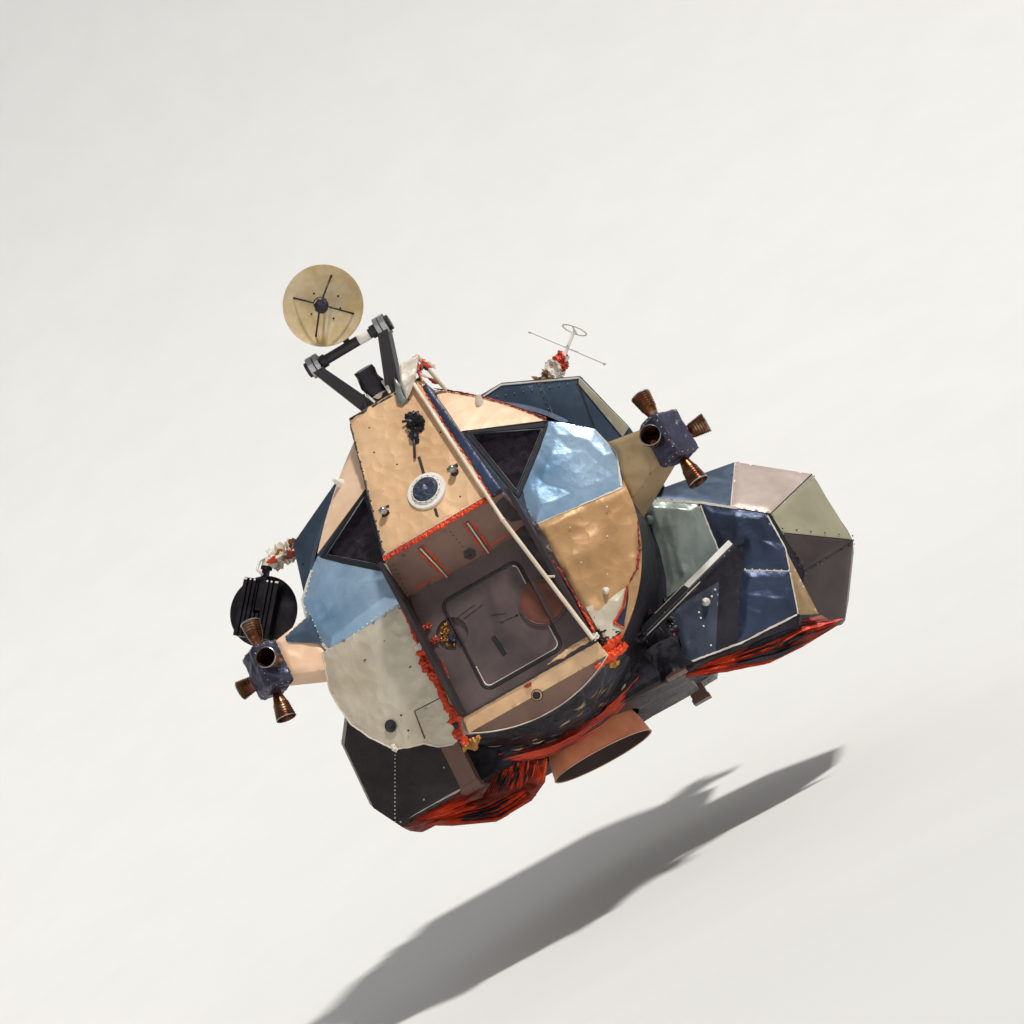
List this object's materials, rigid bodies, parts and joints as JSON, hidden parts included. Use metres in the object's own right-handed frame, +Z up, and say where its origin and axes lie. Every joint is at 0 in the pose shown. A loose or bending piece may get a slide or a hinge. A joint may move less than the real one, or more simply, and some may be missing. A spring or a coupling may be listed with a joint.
{
  "type": "lunar module ascent stage",
  "caption": "Crewed spacecraft upper stage: hollow cabin with faceted foil panels, hatches, thruster quads, engine bell, radar and steerable antenna.",
  "frame": {"origin": "centre of the four interstage bolt holes, on the plane of the feet", "axes": "+Z up towards the docking tunnel, +X to port, +Y aft; the crew cabin faces -Y"},
  "size_m": [4.746, 4.0929, 3.937],
  "materials": {
    "tan_foil": "matte tan foil panels",
    "blue_foil": "pale blue crinkled foil",
    "dark_blue": "dark steel blue panels",
    "dark_foil": "dark crinkled foil",
    "khaki_foil": "khaki foil panels",
    "orange_foil": "orange red foil",
    "taupe": "dark taupe panel",
    "bell_copper": "copper coloured bell",
    "nozzle_bronze": "ribbed bronze nozzles",
    "dish_cream": "cream dish",
    "grey_metal": "bare metal",
    "cream_metal": "cream painted metal",
    "glass": "dark window glass"
  },
  "bodies": {
    "stage": {"aft_equipment_bay": "dark_blue", "aft_heat_shield": "dark_blue", "antenna_arm": "cream_metal", "ascent_engine": "grey_metal", "brow_port": "tan_foil", "brow_starboard": "tan_foil", "cabin_barrel": "dark_foil", "cabin_floor": "dark_foil", "cabin_rear_bulkhead": "dark_foil", "cabin_roof": "dark_foil", "cheek_port": "tan_foil", "cheek_starboard": "tan_foil", "docking_tunnel": "dark_blue", "engine_bay": "dark_foil", "engine_bell": "bell_copper", "forward_bulkhead": "taupe", "fuel_tank_bulge": "khaki_foil", "handrail": "cream_metal", "inflight_cones": "cream_metal", "interstage_feet": "grey_metal", "lip_panel": "taupe", "loose_strip": "grey_metal", "midsection_deck": "dark_blue", "midsection_front_bulkhead": "dark_blue", "midsection_rear_bulkhead": "dark_blue", "midsection_shell": "dark_blue", "nose_back": "dark_foil", "nose_lamps": "grey_metal", "nose_panel": "tan_foil", "nose_side_port": "dark_foil", "nose_side_starboard": "dark_foil", "nose_undercut": "taupe", "oxidizer_tank_bulge": "dark_blue", "radar_pedestal": "dark_foil", "recess_side_port": "orange_foil", "recess_side_starboard": "orange_foil", "sill_panel": "tan_foil", "thruster_fairing_port_aft": "khaki_foil", "thruster_fairing_port_fore": "khaki_foil", "thruster_fairing_starboard_aft": "khaki_foil", "thruster_fairing_starboard_fore": "khaki_foil", "thruster_housing_port_aft": "dark_foil", "thruster_housing_port_fore": "dark_foil", "thruster_housing_starboard_aft": "dark_foil", "thruster_housing_starboard_fore": "dark_foil", "thruster_nozzles_port_aft": "nozzle_bronze", "thruster_nozzles_port_fore": "nozzle_bronze", "thruster_nozzles_starboard_aft": "nozzle_bronze", "thruster_nozzles_starboard_fore": "nozzle_bronze", "tracking_light": "grey_metal", "vhf_antenna": "cream_metal", "window_panel_port": "blue_foil", "window_panel_starboard": "blue_foil", "windows": "glass"},
    "forward_hatch": {"forward_hatch": "taupe"},
    "overhead_hatch": {"overhead_hatch": "dark_blue"},
    "radar_yoke": {"radar_yoke": "dark_foil"},
    "radar_dish": {"radar_dish": "dish_cream"},
    "antenna_yoke": {"antenna_yoke": "dark_foil"},
    "antenna_dish": {"antenna_dish": "dark_foil"}
  },
  "joints": [
    {"name": "forward_hatch_hinge", "type": "hinge", "parent": "stage", "child": "forward_hatch", "pos_m": [-0.337, -1.664, 0.78], "axis": [0, 0, 1], "range_deg": [0, 85]},
    {"name": "overhead_hatch_hinge", "type": "hinge", "parent": "stage", "child": "overhead_hatch", "pos_m": [0, 0.46, 2.358], "axis": [1, 0, 0], "range_deg": [0, 75]},
    {"name": "radar_shaft", "type": "hinge", "parent": "stage", "child": "radar_yoke", "pos_m": [-0.035, -1.78, 3.23], "axis": [1, 0, 0], "range_deg": [-70, 60]},
    {"name": "radar_trunnion", "type": "hinge", "parent": "radar_yoke", "child": "radar_dish", "pos_m": [-0.035, -1.90219, 3.5478], "axis": [0, -0.309, 0.9511], "range_deg": [-55, 55]},
    {"name": "antenna_azimuth", "type": "hinge", "parent": "stage", "child": "antenna_yoke", "pos_m": [-1.673, -0.45, 2.565], "axis": [0.6, 0, 0.8], "range_deg": [-75, 75]},
    {"name": "antenna_elevation", "type": "hinge", "parent": "antenna_yoke", "child": "antenna_dish", "pos_m": [-1.907, -0.45, 2.253], "axis": [-0.8, 0, 0.6], "range_deg": [0, 75]}
  ]
}
